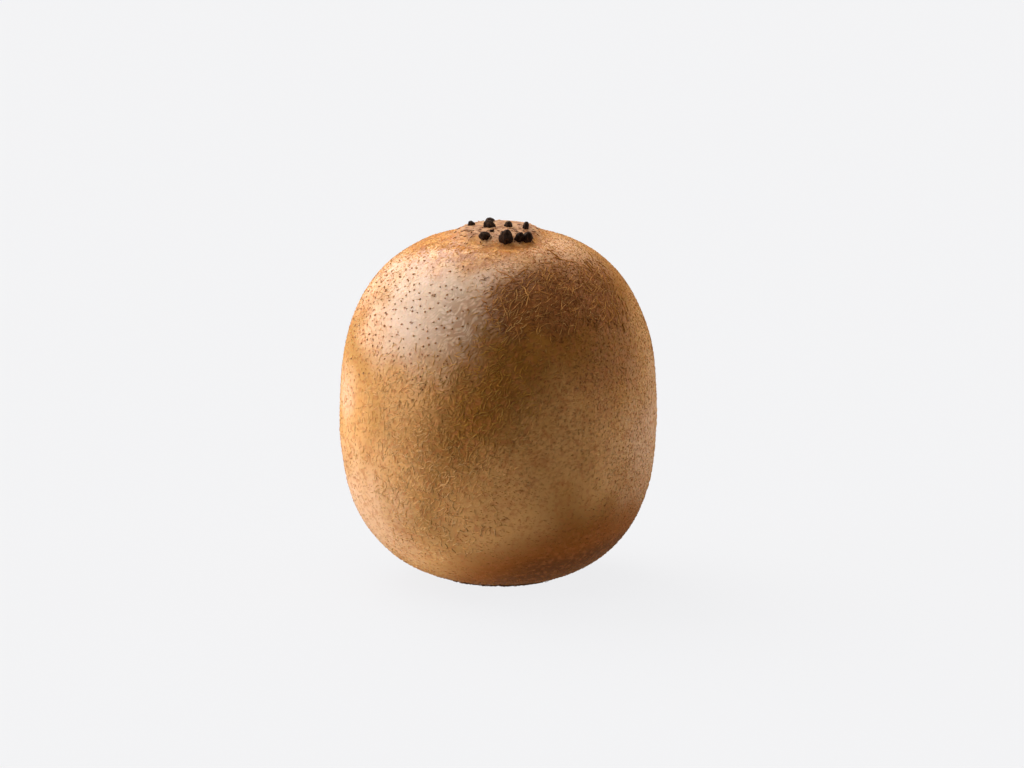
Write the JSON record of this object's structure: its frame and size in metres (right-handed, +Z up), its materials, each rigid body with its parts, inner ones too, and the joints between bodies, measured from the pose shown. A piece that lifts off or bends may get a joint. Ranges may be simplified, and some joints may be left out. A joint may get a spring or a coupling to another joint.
{
  "type": "kiwi fruit",
  "caption": "whole oval kiwi fruit with fuzzy brown skin, standing on its stem end, with dried style stubs on the nub at its blossom end and dried sepals under its stem end",
  "frame": {"origin": "middle of the fruit's outline in plan, on the surface that its flat spot rests on", "axes": "+Z up from the stem end to the blossom end; -Y is the front, and the fruit is widest along X"},
  "size_m": [0.0542, 0.0504, 0.063],
  "materials": {
    "fuzzy_skin": "golden-brown skin covered in short fuzz",
    "dried_style": "dry, dark and matte",
    "dried_stem": "dry, rough and brown"
  },
  "bodies": {
    "root": {"kiwi_fruit": "fuzzy_skin", "dried_style_01": "dried_style", "dried_style_02": "dried_style", "dried_style_03": "dried_style", "dried_style_04": "dried_style", "dried_style_05": "dried_style", "dried_style_06": "dried_style", "dried_style_07": "dried_style", "dried_style_08": "dried_style", "dried_style_09": "dried_style", "dried_style_10": "dried_style", "stem_scar": "dried_stem", "dried_sepal_1": "dried_stem", "dried_sepal_2": "dried_stem", "dried_sepal_3": "dried_stem", "dried_sepal_4": "dried_stem", "dried_sepal_5": "dried_stem"}
  },
  "joints": []
}
